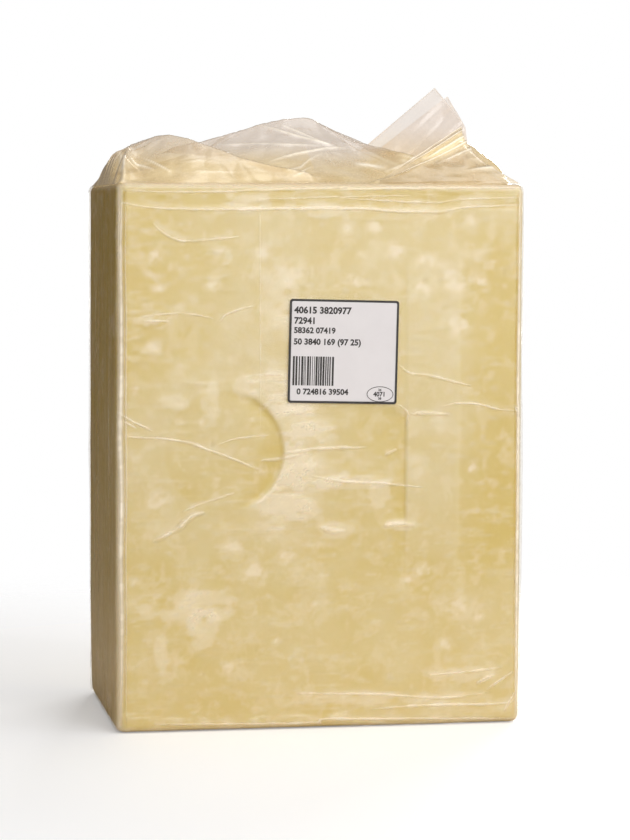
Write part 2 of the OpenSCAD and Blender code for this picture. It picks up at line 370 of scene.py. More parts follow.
def film_lift(points, outward):
    """How far the film stands off the cheese, and how milky it looks there, with painted highlight lines and
    painted bounce light in the same haze.
    """
    x, z = points[..., 0], points[..., 2]
    front = on_face(outward)
    upright = 1 - np.abs(outward[..., 2])
    height, haze = np.zeros(x.shape), np.zeros(x.shape)
    wander = 3.0 * (soft_noise(points, 9, 51) - 0.5)
    ragged = layered_noise(points, (8, 8, 4.5), 61)
    streaked = layered_noise(points, (16, 16, 3.2), 63)
    for cx, cz, rx, rz in FRONT_POCKETS:
        pocket = spot(x + wander, z + 0.6 * wander, cx, cz, rx * 1.3, rz * 1.3) * front
        haze += 0.55 * rise(pocket + 2.6 * (ragged - 0.5), 0.3, 0.95) * pocket
        height += 0.15 * pocket
    for line, fold_height, width in FRONT_FOLDS:
        far, side, share = along_line(x, z + 0.5 * wander, line)
        halo = np.exp(-((far / (1.4 * width + 1.2)) ** 2)) * (0.6 + 0.4 * side) * taper(share) * front
        haze += 0.6 * min(1.0, fold_height / 0.7) * halo * (0.4 + 0.6 * rise(ragged, 0.3, 0.6))
    cx, cz, r = ROUND_MARK
    far = np.hypot(x - cx, z - cz)
    beside = between(far, r + 0.5, r + 2.5, r + 10, r + 42) * front
    beside *= rise(np.cos(np.arctan2(z - cz, x - cx)), 0.25, 0.7)
    haze += beside * (0.35 + 0.55 * rise(ragged, 0.4, 0.6) + 0.8 * rise(streaked, 0.48, 0.62))
    height += 0.35 * beside
    patches = rise(layered_noise(points, (22, 22, 16), 65), 0.56, 0.75)
    haze += (0.2 + 0.4 * (1 - front)) * patches * rise(ragged, 0.38, 0.56)
    haze += 0.2 * rise(streaked, 0.6, 0.74) + 0.25 * rise(ragged, 0.62, 0.76)
    streaks = ridged_noise(points, (50, 50, 4), 71)
    level = rise(streaks, 0.86, 1.0) * rise(layered_noise(points, 40, 73), 0.45, 0.7)
    height += 0.25 * level
    haze += 0.3 * level
    aside = (1 - front) * upright
    across = np.abs(outward[..., 0])
    pleats = ridged_noise(points + np.array([0, 0, 0.2]) * points[..., 1:2], (9, 9, 110), 75)
    height += (0.3 + 0.9 * across) * aside * rise(pleats, 0.6, 1.0)
    haze += 0.3 * across * aside * rise(pleats, 0.72, 1.0)
    # Painted bounce light: the film on the left side is milkier, so paler, towards its foot.
    haze += 0.3 * np.clip(-outward[..., 0], 0, 1) * aside * fade(z, 20, 210)
    near_ends = fade(z, 3, 34) + rise(z, BLOCK_H - 24, BLOCK_H)
    crinkle = ridged_noise(points, (30, 30, 6), 81, 3)
    height += 0.7 * rise(crinkle, 0.66, 1.0) * near_ends
    haze += 0.35 * rise(crinkle, 0.7, 1.0) * near_ends
    # Painted highlight: a pale line along the top rim.
    haze += 0.8 * rise(z, BLOCK_H - 6, BLOCK_H - 2)
    # The rounded upright edges are partly whiter from stretched film and partly a painted highlight line.
    rounded = np.clip((1 - np.max(np.abs(outward), axis=-1)) / 0.29, 0, 1)
    haze += 0.9 * rise(rounded, 0.2, 0.8) * upright
    height += 0.5 * rise(rounded, 0.3, 0.9) * upright
    return height * (1 - near_label(x, z) * front), np.clip(haze, 0, 1)


def film_shift(points, outward):
    """Outward movement of the film from the block's plain surface, and its haze, painted highlights and
    bounce light included.
    """
    depth, _ = pressed_relief(points, outward)
    height, haze = film_lift(points, outward)
    upright = 1 - np.abs(outward[..., 2])
    return (height - 0.6 * depth) * (0.3 + 0.7 * upright), haze


# ---- mesh making

def put_in_scene(name, data):
    """A new object of the scene."""
    thing = bpy.data.objects.new(name, data)
    bpy.context.scene.collection.objects.link(thing)
    return thing


def add_piece(name, points, faces, material, masks=None):
    """A smooth mesh piece from millimetre points, with named masks on its points."""
    mesh = bpy.data.meshes.new(name)
    mesh.from_pydata((np.asarray(points) * MM).tolist(), [], [list(map(int, f)) for f in faces])
    mesh.polygons.foreach_set("use_smooth", np.ones(len(mesh.polygons), bool))
    for mask_name, values in (masks or {}).items():
        layer = mesh.attributes.new(mask_name, "FLOAT", "POINT")
        layer.data.foreach_set("value", np.asarray(values, np.float32).ravel())
    mesh.materials.append(material)
    mesh.validate()
    return put_in_scene(name, mesh)


def loop_faces(rings, count):
    """Quads between closed rings of points."""
    k, j = np.meshgrid(np.arange(rings - 1), np.arange(count), indexing="ij")
    here, beside = k * count + j, k * count + (j + 1) % count
    return np.stack([here, beside, beside + count, here + count], -1).reshape(-1, 4).tolist()


def sheet_faces(rows, columns, first=0):
    """Quads over an open grid of points."""
    k, j = np.meshgrid(np.arange(rows - 1), np.arange(columns - 1), indexing="ij")
    a = first + k * columns + j
    return np.stack([a, a + 1, a + columns + 1, a + columns], -1).reshape(-1, 4).tolist()


def make_cheese(material):
    """The cheddar, pressed in, lumpy and pitted, with the places of its curds and of the milky film, and the
    painted shade and painted highlights that these masks carry.
    """
    points, outward = block_rings(CHEESE_INSET, with_top=True)
    depth, contact_and_shade = pressed_relief(points, outward)
    _, milk_and_painted_light = film_lift(points, outward)
    pits = rise(layered_noise(points, 5, 91, 2), 0.87, 0.96)
    moved = points - outward * (depth + PIT_DEPTH * pits - 0.1)[..., None]
    moved[..., 2] = np.maximum(moved[..., 2], 0.4)
    rings, count = points.shape[:2]
    caps = [list(range(count))[::-1], [(rings - 1) * count + j for j in range(count)]]
    piece = add_piece("cheese", moved.reshape(-1, 3), loop_faces(rings, count) + caps, material,
                      {"contact_and_shade": contact_and_shade, "pale_curd": curd_spots(points, outward), "milk_and_painted_light": milk_and_painted_light,
                       "pits": pits})
    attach(piece, "root")
    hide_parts("cheese_block")


def make_film_skin(material):
    """The tight film round the block, closed at its foot and open under the gathered end."""
    points, outward = block_rings(0.0, with_top=False)
    shift, haze = film_shift(points, outward)
    moved = points + outward * shift[..., None]
    moved[..., 2] = np.maximum(moved[..., 2], 0.0)
    rings, count = points.shape[:2]
    faces = loop_faces(rings, count) + [list(range(count))[::-1]]
    # The glint mask is a painted highlight on the milkiest film, the rounded edges among it.
    piece = add_piece("film_skin", moved.reshape(-1, 3), faces, material,
                      {"haze": haze, "warmth": soft_noise(points, 45, 159),
                       "glint": 0.3 * rise(haze, 0.75, 1.0)})
    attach(piece, "root")


# A raised fold is a ribbon: its step along, and across it each point's place, height and share of haze.
RIBBON_STEP = 0.9
RIBBON_ACROSS = np.array([-1.0, -0.5, 0.0, 0.45, 1.0])[None, :, None]
RIBBON_LIFT = np.array([-0.1, 0.55, 1.0, 0.5, -0.1])[None, :, None]
RIBBON_HAZE = np.array([0.0, 0.55, 1.0, 0.5, 0.0])
# The folds along the upright edges: which edge, its direction round the edge, its height and its half width.
# They carry a painted highlight line.
EDGE_FOLDS = [(0, 240, 1.3, 2.4), (0, 264, 0.3, 0.7), (1, 300, 1.0, 1.8), (1, 340, 0.4, 0.8),
              (2, 40, 0.5, 1.2), (3, 120, 0.5, 1.2)]
# The back's own folds: the ledge near its top and the line of its weld, in the way of the front's folds.
BACK_FOLDS = [
    ([(-LONG, 355), (-60, 352), (30, 353), (LONG, 355)], 0.8, 1.3),
    ([(-LONG, 361), (-20, 362.5), (LONG, 360)], 0.45, 0.9),
    ([(38, 366), (37, 210), (38.5, 20)], 0.2, 0.5),
]
BACK_CHANCE_FOLDS, LEFT_PLEATS, RIGHT_PLEATS = 16, 7, 8
UPWARD = np.array([0, 0, 1])


def smooth_line(line, step):
    """A soft curve through a line of places, with points a step apart."""
    line = np.array(line, float)
    padded = np.vstack([2 * line[0] - line[1], line, 2 * line[-1] - line[-2]])
    out = []
    for a, b, c, d in zip(padded[:-3], padded[1:-2], padded[2:-1], padded[3:]):
        count = max(2, round(np.linalg.norm(c - b) / step))
        t = np.linspace(0, 1, count, endpoint=False)[:, None]
        out.append(0.5 * (2 * b + (c - a) * t + (2 * a - 5 * b + 4 * c - d) * t**2
                          + (3 * b - a - 3 * c + d) * t**3))
    return np.vstack(out + [line[-1:]])


def upright_folds(chance, half_span, count):
    """Long upright pleats on the narrow sides."""
    folds = []
    for _ in range(count):
        length, place = chance.uniform(50, 200), chance.uniform(-half_span + 8, half_span - 8)
        low = chance.uniform(8, BLOCK_H - 12 - length)
        sway = chance.uniform(-3, 3, 2)
        line = [(place, low), (place + sway[0], low + 0.5 * length), (place + sway[1], low + length)]
        folds.append((line, chance.uniform(0.2, 0.6), chance.uniform(0.7, 1.8)))
    return folds


def level_folds(chance, half_span, count):
    """Mostly level folds strewn over the back."""
    folds = []
    for _ in range(count):
        length, slope = chance.uniform(18, 130), chance.uniform(-0.22, 0.22)
        start = chance.uniform(-half_span + 4, half_span - 4 - min(length, half_span))
        z = chance.uniform(14, BLOCK_H - 14)
        bend = chance.uniform(-4, 4)
        end = min(start + length, half_span - 4)
        middle = (start + end) / 2
        line = [(start, z), (middle, z + slope * (middle - start) + bend), (end, z + slope * (end - start))]
        folds.append((line, chance.uniform(0.2, 0.6), chance.uniform(0.9, 1.9)))
    return folds


def make_film_folds(material):
    """Thin raised folds of the tight film, on its four sides and along its upright edges, where they carry
    painted highlight lines.
    """
    chance = np.random.default_rng(41)
    sides = [((1, 0, 0), (0, -1, 0), HALF_D, FRONT_FOLDS),
             ((-1, 0, 0), (0, 1, 0), HALF_D, BACK_FOLDS + level_folds(chance, HALF_W, BACK_CHANCE_FOLDS)),
             ((0, -1, 0), (-1, 0, 0), HALF_W, upright_folds(chance, HALF_D, LEFT_PLEATS)),
             ((0, 1, 0), (1, 0, 0), HALF_W, upright_folds(chance, HALF_D, RIGHT_PLEATS))]
    points, faces, haze, glint = [], [], [], []

    def ribbon(middle, across, outward, height, width, edge_highlight=0.0):
        """One raised strip, from its middle line and its directions across and outward at each point, with an
        optional painted highlight.
        """
        steps = len(middle)
        full = taper(np.linspace(0, 1, steps))
        uneven = 0.55 + 0.9 * layered_noise(middle, 7, 131)
        broken = rise(layered_noise(middle, (9, 9, 5), 139, 2), 0.25, 0.6)
        wide = 1.35 * width * (0.35 + 0.65 * full) * (uneven + edge_highlight * (1 - uneven))
        tall = 0.6 * height * full * uneven
        shift, _ = film_shift(middle, outward)
        base = middle + outward * (shift + 0.12)[:, None]
        strip = (base[:, None] + across[:, None] * wide[:, None, None] * RIBBON_ACROSS
                 + outward[:, None] * tall[:, None, None] * RIBBON_LIFT)
        faces.extend(sheet_faces(steps, len(RIBBON_HAZE), sum(map(len, points))))
        points.append(strip.reshape(-1, 3))
        strength = min(1.0, 0.2 + height) * (0.3 + 0.7 * np.maximum(broken, 0.7 * edge_highlight)) * full
        haze.append((strength[:, None] * RIBBON_HAZE).ravel())
        glint.append(edge_highlight * haze[-1])

    for along, out, far, folds in sides:
        along, out = np.array(along), np.array(out, float)
        for line, height, width in folds:
            curve = smooth_line(line, RIBBON_STEP)
            wander = layered_noise(np.column_stack([curve, np.full(len(curve), far)]), 8, 133) - 0.5
            curve[:, 1] += 0.9 * wander
            ahead = np.gradient(curve, axis=0)
            ahead /= np.linalg.norm(ahead, axis=1)[:, None]
            middle = curve[:, :1] * along + far * out + curve[:, 1:] * UPWARD
            across = ahead[:, :1] * UPWARD - ahead[:, 1:] * along
            ribbon(middle, across, np.tile(out, (len(curve), 1)), height, width)
    for edge, start, height, width in EDGE_FOLDS:
        z = np.arange(6.0, BLOCK_H - 5, RIBBON_STEP * 1.6)
        sway = soft_noise(np.column_stack([0 * z, 0 * z + start, z]), 40, 137) - 0.5
        angle = np.radians(start + 9 * sway)
        c, s = np.cos(angle), np.sin(angle)
        (side_x, side_y), r = EDGE_SIDES[edge], edge_radii(z)[edge]
        middle = np.column_stack([side_x * (HALF_W - r) + r * c, side_y * (HALF_D - r) + r * s, z])
        # These edge folds carry a full painted highlight.
        ribbon(middle, np.column_stack([-s, c, 0 * z]), np.column_stack([c, s, 0 * z]), height, width, 1.0)
    points = np.concatenate(points)
    piece = add_piece("film_folds", points, faces, material,
                      {"haze": np.concatenate(haze), "warmth": soft_noise(points, 30, 161),
                       "glint": np.concatenate(glint)})
    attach(piece, "root")


# ---- the gathered bag end

# Crests of the gathered film: places along X and Y and height over the block, then how steeply the film falls
# away in front of the crest and behind it.
TENT_CRESTS = [
    ([(-137, 84, 1), (-131, 45, 14), (-126, 8, 23), (-118, -12, 28), (-106, -28, 32), (-96, -38, 33),
      (-84, -46, 30), (-70, -54, 25), (-52, -62, 18), (-30, -68, 12), (-6, -74, 7)], 0.9, 0.5),
    ([(-122, -10, 26), (-127, -35, 24), (-131, -60, 17), (-135, -84, 3)], 0.9, 1.6),
    ([(-90, -2, 25), (-70, 2, 29), (-50, 5, 35), (-28, 8, 42), (-10, 10, 46), (4, 10, 47.5), (12, 9, 46),
      (20, 6, 41), (30, 0, 35), (42, -9, 29), (58, -22, 25), (74, -38, 20), (90, -56, 13), (102, -72, 6)],
     0.8, 0.55),
    ([(20, 6, 41), (28, 18, 34), (44, 34, 27), (80, 60, 14), (120, 84, 2)], 0.8, 0.8),
    ([(36, -84, 1), (48, -74, 5), (66, -60, 10), (86, -44, 20), (108, -24, 34)], 0.75, 1.3),
    ([(106, -26, 36), (103.5, -43, 30), (106.5, -58, 20), (117, -74, 9), (129, -84, 1)], 0.9, 1.6),
    ([(108, -24, 34), (106, 0, 32), (116, 40, 20), (134, 84, 2)], 0.8, 0.8),
    ([(-50, 5, 35), (-62, 30, 24), (-80, 62, 12), (-96, 86, 2)], 0.7, 0.7),
]
TENT_PITCH = 1.15
TENT_INSET, TENT_SEAT, TENT_CORNER = 1.4, 1.5, 7.0
# CREST_LINE is the half width of the painted shade line along each crest.
CREST_LINE = 1.1
CREST_SHARPNESS = 1.4
CREST_SAG = 0.006

# Sharp creases seen from the front: places along X and height over the block, how far the film is lifted, the
# half width, and how far forward and back along Y the crease lies. Each crease also carries a painted
# highlight.
TENT_CREASES = [
    ([(-127, 18), (-122, 12), (-111, 8)], 2.4, 1.3, (-90, -15)),
    ([(-117, 17), (-109, 12), (-101, 7)], 1.9, 1.1, (-90, -15)),
    ([(-88, 6), (-83, 8), (-74, 7), (-53, 7)], 0.6, 0.9, (-90, -15)),
    ([(-95, 13), (-80, 15), (-64, 13)], 0.5, 0.9, (-90, -15)),
    ([(-70, 18), (-56, 16), (-46, 13)], 0.5, 0.9, (-90, -15)),
    ([(-129, 24), (-132, 12), (-135, 5)], 1.4, 1.1, (-90, -5)),
    ([(-62, 27), (-32, 28), (15, 27)], 1.2, 1.1, (-45, 12)),
    ([(-29, 42), (2, 32), (24, 26)], 1.6, 1.6, (-45, 12)),
    ([(-15, 43), (18, 27)], 1.4, 1.3, (-45, 12)),
    ([(-29, 15), (-8, 21), (14, 25), (34, 26)], 1.5, 1.1, (-60, 12)),
    ([(-25, 7), (-9, 11), (0, 17), (11, 22)], 1.1, 1.0, (-70, 5)),
    ([(-19, 4), (0, 12)], 0.9, 0.9, (-80, -5)),
    ([(13, 23), (14, 17), (16, 12)], 0.8, 0.8, (-70, 5)),
    ([(30, 14), (42, 13), (54, 11)], 1.6, 2.6, (-80, 0)),
    ([(62, 21), (80, 16)], 1.0, 1.2, (-80, 0)),
    ([(50, 8), (66, 14), (84, 25), (106, 38)], 1.6, 1.2, (-90, -20)),
    ([(74, 11), (87, 16), (100, 20), (112, 24)], 1.6, 1.1, (-90, -20)),
    ([(84, 13), (98, 24), (109, 33)], 1.2, 1.8, (-90, -20)),
    ([(122, 10), (136, 1)], 1.0, 1.1, (-90, -30)),
    ([(110, 20), (118, 15)], 1.0, 1.1, (-90, -20)),
]


def crest_roof(x, y, crest, front_fall, back_fall):
    """Height of film hung from one crest, at every place."""
    crest = np.array(crest, float)
    best = np.full(x.shape, -1e9)
    for a, b in zip(crest[:-1], crest[1:]):
        d = b[:2] - a[:2]
        length = np.hypot(*d)
        d = d / length
        t = np.clip((x - a[0]) * d[0] + (y - a[1]) * d[1], 0, length)
        far_x, far_y = x - a[0] - t * d[0], y - a[1] - t * d[1]
        far = np.hypot(far_x, far_y)
        fall = np.where(far_y < 0, front_fall, back_fall) * far / (1 + CREST_SAG * far)
        best = np.maximum(best, a[2] + (b[2] - a[2]) * t / length - fall)
    return best


def tent_height(x, y):
    """Height of the gathered film over the block's top."""
    total = np.zeros(x.shape)
    for crest, front_fall, back_fall in TENT_CRESTS:
        roof = crest_roof(x, y, crest, front_fall, back_fall)
        total += np.exp(np.clip(roof, -20, 80) * CREST_SHARPNESS)
    return np.log(1 + total) / CREST_SHARPNESS


def make_film_tent(material):
    """The gathered end: film over air, hung from its crests, with sharp creases and a seat on the block."""
    half_w, half_d = HALF_W - TENT_INSET, HALF_D - TENT_INSET
    columns, rows = round(2 * half_w / TENT_PITCH) + 1, round(2 * half_d / TENT_PITCH) + 1
    x, y = np.meshgrid(np.linspace(-half_w, half_w, columns), np.linspace(-half_d, half_d, rows))
    flat = np.stack([x, y, 0 * x], -1)
    x, y = round_corners(x, y, half_w, half_d, TENT_CORNER)
    walls = (rise(half_w - np.abs(x), 0, 8) * rise(half_d + y, 0, 7)
             * rise(half_d - y, 0, 10 + 18 * rise(x, -130, -80)))
    inside = np.minimum(half_w - np.abs(x), half_d - np.abs(y))
    swayed_x = x + 8 * (layered_noise(flat, 38, 101) - 0.5)
    swayed_y = y + 8 * (layered_noise(flat, 33, 103) - 0.5)
    z = tent_height(swayed_x, swayed_y)
    # A painted shade line along each crest, darkening the film where it turns edge-on.
    outline = np.zeros(x.shape)
    for crest, _, _ in TENT_CRESTS:
        far, _, share = along_line(swayed_x, swayed_y, [place[:2] for place in crest])
        outline = np.maximum(outline, np.exp(-((far / CREST_LINE) ** 2)) * rise(share, 0.0, 0.08))
    slanted = np.stack([x + 0.4 * y, y - 0.3 * x, 1.4 * z], -1)
    creases = ridged_noise(slanted, (34, 22, 16), 107, 3)
    z = z * np.sqrt(walls) + 1.3 * (creases - 0.55) * rise(inside, 0, 14)
    high = np.maximum(z, 0)
    fold_lift, crease_highlight = np.zeros(x.shape), np.zeros(x.shape)
    for line, lift, width, (front_end, back_end) in TENT_CREASES:
        far, _, share = along_line(x, high, line)
        reach = between(y, front_end - 4, front_end, back_end, back_end + 5)
        crest = np.exp(-((far / (0.65 * width)) ** 2)) * taper(share) * reach
        fold_lift += 0.45 * lift * crest
        crease_highlight += min(1.0, lift / 1.4) * crest**1.5
    seat = TENT_SEAT * rise(inside, 0, 4)
    z = BLOCK_H - TENT_SEAT + np.maximum(z + seat, 0) + 0.6 * fold_lift
    y = y - 0.8 * fold_lift * rise(inside, 2, 8)
    # Warmer and milkier low down and on the front right panel: the cheese's colour seen through the film,
    # painted in.
    raised = rise(z, BLOCK_H + 2, BLOCK_H + 32)
    forward = rise(-y, 8, 40)
    right_panel = rise(x, 30, 60) * forward
    warmth = 1 - raised + 0.3 * forward * (x < 0) + 0.9 * right_panel
    haze = 0.28 + 0.3 * rise(creases, 0.84, 1.0) + 0.38 * (1 - raised) + 0.12 * forward
    # Painted highlights along the creases and on the sharpest crumples.
    glint = crease_highlight + 0.3 * rise(creases, 0.92, 1.0)
    points = np.stack([x, y, z], -1).reshape(-1, 3)
    piece = add_piece("film_tent", points, sheet_faces(rows, columns), material,
                      {"haze": np.clip(haze, 0, 1), "warmth": np.clip(warmth, 0, 1),
                       "glint": np.clip(glint, 0, 1), "outline": outline})
    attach(piece, "root")
    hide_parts("bag")


# The flap folded over in front of the ear: its upper fold and its foot, each from left to right, with heights
# over the block, and how far its right edge curves in.
FLAP_FOLD = ((40, -83, 2), (109, -29, 41))
FLAP_FOOT = ((40, -86, 0.5), (137, -86, 0.5))
FLAP_PULL_IN = 11
FLAP_STAND_OFF = 1.5
FLAP_STEPS = 110
# Pleats of the flap: share of the way from the fold to the foot, width, and where they start along it.
FLAP_PLEATS = [(0.09, 0.018, 0.2), (0.30, 0.022, 0.0), (0.42, 0.02, 0.55), (0.72, 0.03, 0.7),
               (0.2, 0.03, 0.45)]


def make_film_flap(material):
    """The film folded over at the right, with a few pleats that fan out from its lower left corner."""
    u, v = np.meshgrid(np.linspace(0, 1, FLAP_STEPS), np.linspace(0, 1, FLAP_STEPS), indexing="ij")
    along, down = u[..., None], v[..., None]
    points = mixed(mixed(*FLAP_FOLD, along), mixed(*FLAP_FOOT, along), down)
    points[..., 0] -= FLAP_PULL_IN * 4 * v * (1 - v) * u**2
    bend = 0.03 * (soft_noise(points, 26, 151) - 0.5) * u
    ridge = np.zeros(u.shape)
    for place, width, starts in FLAP_PLEATS:
        ridge += np.exp(-(((v + bend - place) / width) ** 2)) * rise(u, starts, starts + 0.25)
    crumple = ridged_noise(points, (30, 30, 14), 155)
    proud = 1.8 * ridge + 2.0 * (crumple - 0.5)
    held = rise(np.minimum(u, 1 - v), 0.0, 0.06)
    points[..., 1] -= (FLAP_STAND_OFF + proud) * held
    points[..., 2] += BLOCK_H + 0.4 * proud * held
    border = fade(v, 0.0, 0.035)
    gold = between(v, 0.08, 0.16, 0.24, 0.42) * rise(u, 0.3, 0.6)
    # Painted highlights on the pleats and along the upper fold, and a painted shade line along the right
    # edge.
    glint = 0.8 * ridge + 0.7 * border * rise(u, 0.1, 0.4)
    piece = add_piece("film_flap", points.reshape(-1, 3), sheet_faces(FLAP_STEPS, FLAP_STEPS), material,
                      {"haze": np.clip(0.5 + 0.3 * gold + 0.3 * border, 0, 1),
                       "warmth": np.clip(0.3 + 0.8 * gold, 0, 1), "glint": np.clip(glint, 0, 1),
                       "outline": 0.8 * rise(u, 0.965, 1.0)})
    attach(piece, "root")


# The ear's front and back layers, along X and over the block: left foot, tip, cut corner and right foot.
EAR_LAYERS = [
    [(45, 24), (97, 69), (116, 43), (118, 16)],
    [(57, 24), (106, 63), (117.5, 41), (120, 14)],
]
EAR_STEPS = 60
EAR_GAP = 3.5


def make_film_ear(material):
    """The bag's sealed corner: two flat layers with cut edges, standing up in one fin."""
    points, faces, haze, warmth, glint, outline = [], [], [], [], [], []
    u, v = np.meshgrid(np.linspace(0, 1, EAR_STEPS), np.linspace(0, 1, EAR_STEPS), indexing="ij")
    across, up = u[..., None], v[..., None]
    for k, (foot_left, tip, cut, foot_right) in enumerate(EAR_LAYERS):
        flat = mixed(mixed(foot_left, tip, up), mixed(foot_right, cut, up), across)
        x, h = flat[..., 0], flat[..., 1]
        along = np.stack([(x + h) * 0.7, (h - x) * 0.7, 0 * x + 40 * k], -1)
        pleat = ridged_noise(along, (60, 9, 9), 123)
        lean = 12 - 0.3 * (x - 40) + 0.12 * (h - 20)
        y = lean + EAR_GAP * k + 5 * (soft_noise(along, 30, 121) - 0.5) + 1.8 * (pleat - 0.5)
        border = np.minimum(np.minimum(u, 1 - u), 1 - v)
        points.append(np.stack([x, y, BLOCK_H + h], -1))
        faces += sheet_faces(EAR_STEPS, EAR_STEPS, k * EAR_STEPS**2)
        haze.append(0.45 + 0.4 * rise(pleat, 0.8, 1.0) + 0.5 * fade(border, 0.0, 0.03))
        # Warmer towards its foot, the cheese seen through painted in; painted highlights on its pleats;
        # painted shade all over, darker along its cut edges.
        warmth.append(0.5 * fade(h, 15, 45))
        glint.append(0.4 * rise(pleat, 0.82, 1.0))
        outline.append(0.2 + 0.5 * fade(border, 0.0, 0.025))
    piece = add_piece("film_ear", np.array(points).reshape(-1, 3), faces, material,
                      {"haze": haze, "warmth": warmth, "glint": glint, "outline": outline})
    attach(piece, "root")


# ---- the label

LABEL_TILT = math.radians(1.2)
LABEL_W, LABEL_H, LABEL_R = 75.0, 70.0, 2.0
LABEL_STAND_OFF, LABEL_THICK = 0.75, 0.25
LABEL_STEPS = 30


def label_place(u, v, lift=0.0):
    """A place on the label, from its middle to the right and up, in the block's frame."""
    cx, cz = (LABEL_LOW[0] + LABEL_HIGH[0]) / 2, (LABEL_LOW[2] + LABEL_HIGH[2]) / 2
    c, s = math.cos(LABEL_TILT), math.sin(LABEL_TILT)
    return cx + u * c + v * s, -HALF_D - LABEL_STAND_OFF - lift, cz - u * s + v * c


def make_label(paper, ink):
    """The label's paper, a thin plate with rounded corners, and its print."""
    steps, count = LABEL_STEPS, LABEL_STEPS**2
    u, v = np.meshgrid(np.linspace(-LABEL_W / 2, LABEL_W / 2, steps),
                       np.linspace(-LABEL_H / 2, LABEL_H / 2, steps))
    x, y, z = label_place(*round_corners(u, v, LABEL_W / 2, LABEL_H / 2, LABEL_R))
    front = np.stack([x, y + 0 * x, z], -1).reshape(-1, 3)
    grid = np.arange(count).reshape(steps, steps)
    rim = np.concatenate([grid[0], grid[1:, -1], grid[-1, -2::-1], grid[-2:0:-1, 0]]).tolist()
    faces = sheet_faces(steps, steps)
    faces += [f[::-1] for f in sheet_faces(steps, steps, count)]
    faces += [[b, a, a + count, b + count] for a, b in zip(rim, rim[1:] + rim[:1])]
    piece = add_piece("label_paper", np.concatenate([front, front + [0, LABEL_THICK, 0]]), faces, paper)
    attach(piece, "root")
    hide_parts("label")
    make_label_print(ink)


PRINT_LIFT = 0.12
BORDER, BORDER_INNER_R = 1.5, 1.0
# Rows of numbers: share of the label's height from its top, the numbers and their size.
NUMBER_ROWS = [(0.11, "40615 3820977", 6.2), (0.21, "72941", 6.0), (0.30, "58362 07419", 5.4),
               (0.41, "50 3840 169 (97 25)", 5.6)]
# The bars' foot, top and right end, as shares of the label, with their widths and the gaps between them.
BARS_FOOT, BARS_TOP, BARS_END = 0.83, 0.55, 0.41
BAR_WIDTHS, BAR_GAPS = [0.45, 0.8, 1.3], [0.45, 0.6, 0.9]
# The oval's half sizes and line, and its numbers: their places from its middle and their size.
OVAL_W, OVAL_H, OVAL_LINE = 9.2, 5.3, 0.45
OVAL_NUMBERS = [("4071", -4.6, -1.4, 4.2), ("26", -1.3, 2.2, 2.2), ("38", -1.3, -3.6, 2.2)]


def plain_numbers(text, size):
    """Flat outlines of plain numbers: points in millimetres from the line's left foot, and their faces."""
    curve = bpy.data.curves.new("numbers", "FONT")
    curve.body, curve.size = text, size
    curve.fill_mode, curve.resolution_u = "FRONT", 3
    curve.offset = 0.035 * size
    line = put_in_scene("numbers", curve)
    mesh = line.evaluated_get(bpy.context.evaluated_depsgraph_get()).to_mesh()
    places = [(v.co.x, v.co.y) for v in mesh.vertices]
    faces = [list(p.vertices) for p in mesh.polygons]
    bpy.data.objects.remove(line)
    bpy.data.curves.remove(curve)
    return places, faces


def make_label_print(ink):
    """The frame, rows of plain numbers in place of words, a row of bars and an oval with a number."""
    points, faces = [], []

    def put(places, shapes):
        first = len(points)
        points.extend(label_place(u, v, PRINT_LIFT) for u, v in places)
        faces.extend([first + j for j in shape] for shape in shapes)

    def band(outer, inner):
        n = len(outer)
        put(outer + inner, [[j, (j + 1) % n, n + (j + 1) % n, n + j] for j in range(n)])

    def numbers(text, left, foot, size):
        places, shapes = plain_numbers(text, size)
        put([(left + u, foot + v) for u, v in places], shapes)

    def rounded(w, h, r):
        outline = []
        for i, (side_x, side_y) in enumerate(EDGE_SIDES):
            for s in range(7):
                a = math.radians(180 + 90 * i + 15 * s)
                outline.append((side_x * (w / 2 - r) + r * math.cos(a),
                                side_y * (h / 2 - r) + r * math.sin(a)))
        return outline

    def oval(cx, cy, rx, ry):
        return [(cx + rx * math.cos(a), cy + ry * math.sin(a)) for a in np.radians(np.arange(0, 360, 9))]

    chance = np.random.default_rng(7)
    left, top = -LABEL_W / 2, LABEL_H / 2
    band(rounded(LABEL_W, LABEL_H, LABEL_R),
         rounded(LABEL_W - 2 * BORDER, LABEL_H - 2 * BORDER, BORDER_INNER_R))
    for share, text, size in NUMBER_ROWS:
        numbers(text, left + 3.2, top - share * LABEL_H - 1.8, size)
    u = left + 3.0
    low, high = top - BARS_FOOT * LABEL_H, top - BARS_TOP * LABEL_H
    while u < left + BARS_END * LABEL_W:
        w = chance.choice(BAR_WIDTHS)
        put([(u, low), (u + w, low), (u + w, high), (u, high)], [range(4)])
        u += w + chance.choice(BAR_GAPS)
    numbers("0 724816 39504", left + 6.0, top - 0.915 * LABEL_H, 5.4)
    centre = (left + 0.845 * LABEL_W, top - 0.905 * LABEL_H)
    band(oval(*centre, OVAL_W, OVAL_H), oval(*centre, OVAL_W - OVAL_LINE, OVAL_H - OVAL_LINE))
    for text, u, v, size in OVAL_NUMBERS:
        numbers(text, centre[0] + u, centre[1] + v, size)
    piece = add_piece("label_print", points, faces, ink)
    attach(piece, "root")


# ---- materials

def shader(name):
    """A new material and its empty node tree."""
    material = bpy.data.materials.new(name)
    material.use_nodes = True
    material.node_tree.nodes.clear()
    return material, material.node_tree


def add_node(tree, kind, inputs=None, **settings):
    """A node with its settings, and with values or links on its inputs."""
    node = tree.nodes.new(kind)
    for key, value in settings.items():
        setattr(node, key, value)
    for key, value in (inputs or {}).items():
        socket = node.inputs[key]
        if isinstance(value, bpy.types.NodeSocket):
            tree.links.new(value, socket)
        else:
            socket.default_value = value
    return node


def mask(tree, name):
    """A named mask of the mesh."""
    return add_node(tree, "ShaderNodeAttribute", attribute_name=name).outputs["Fac"]


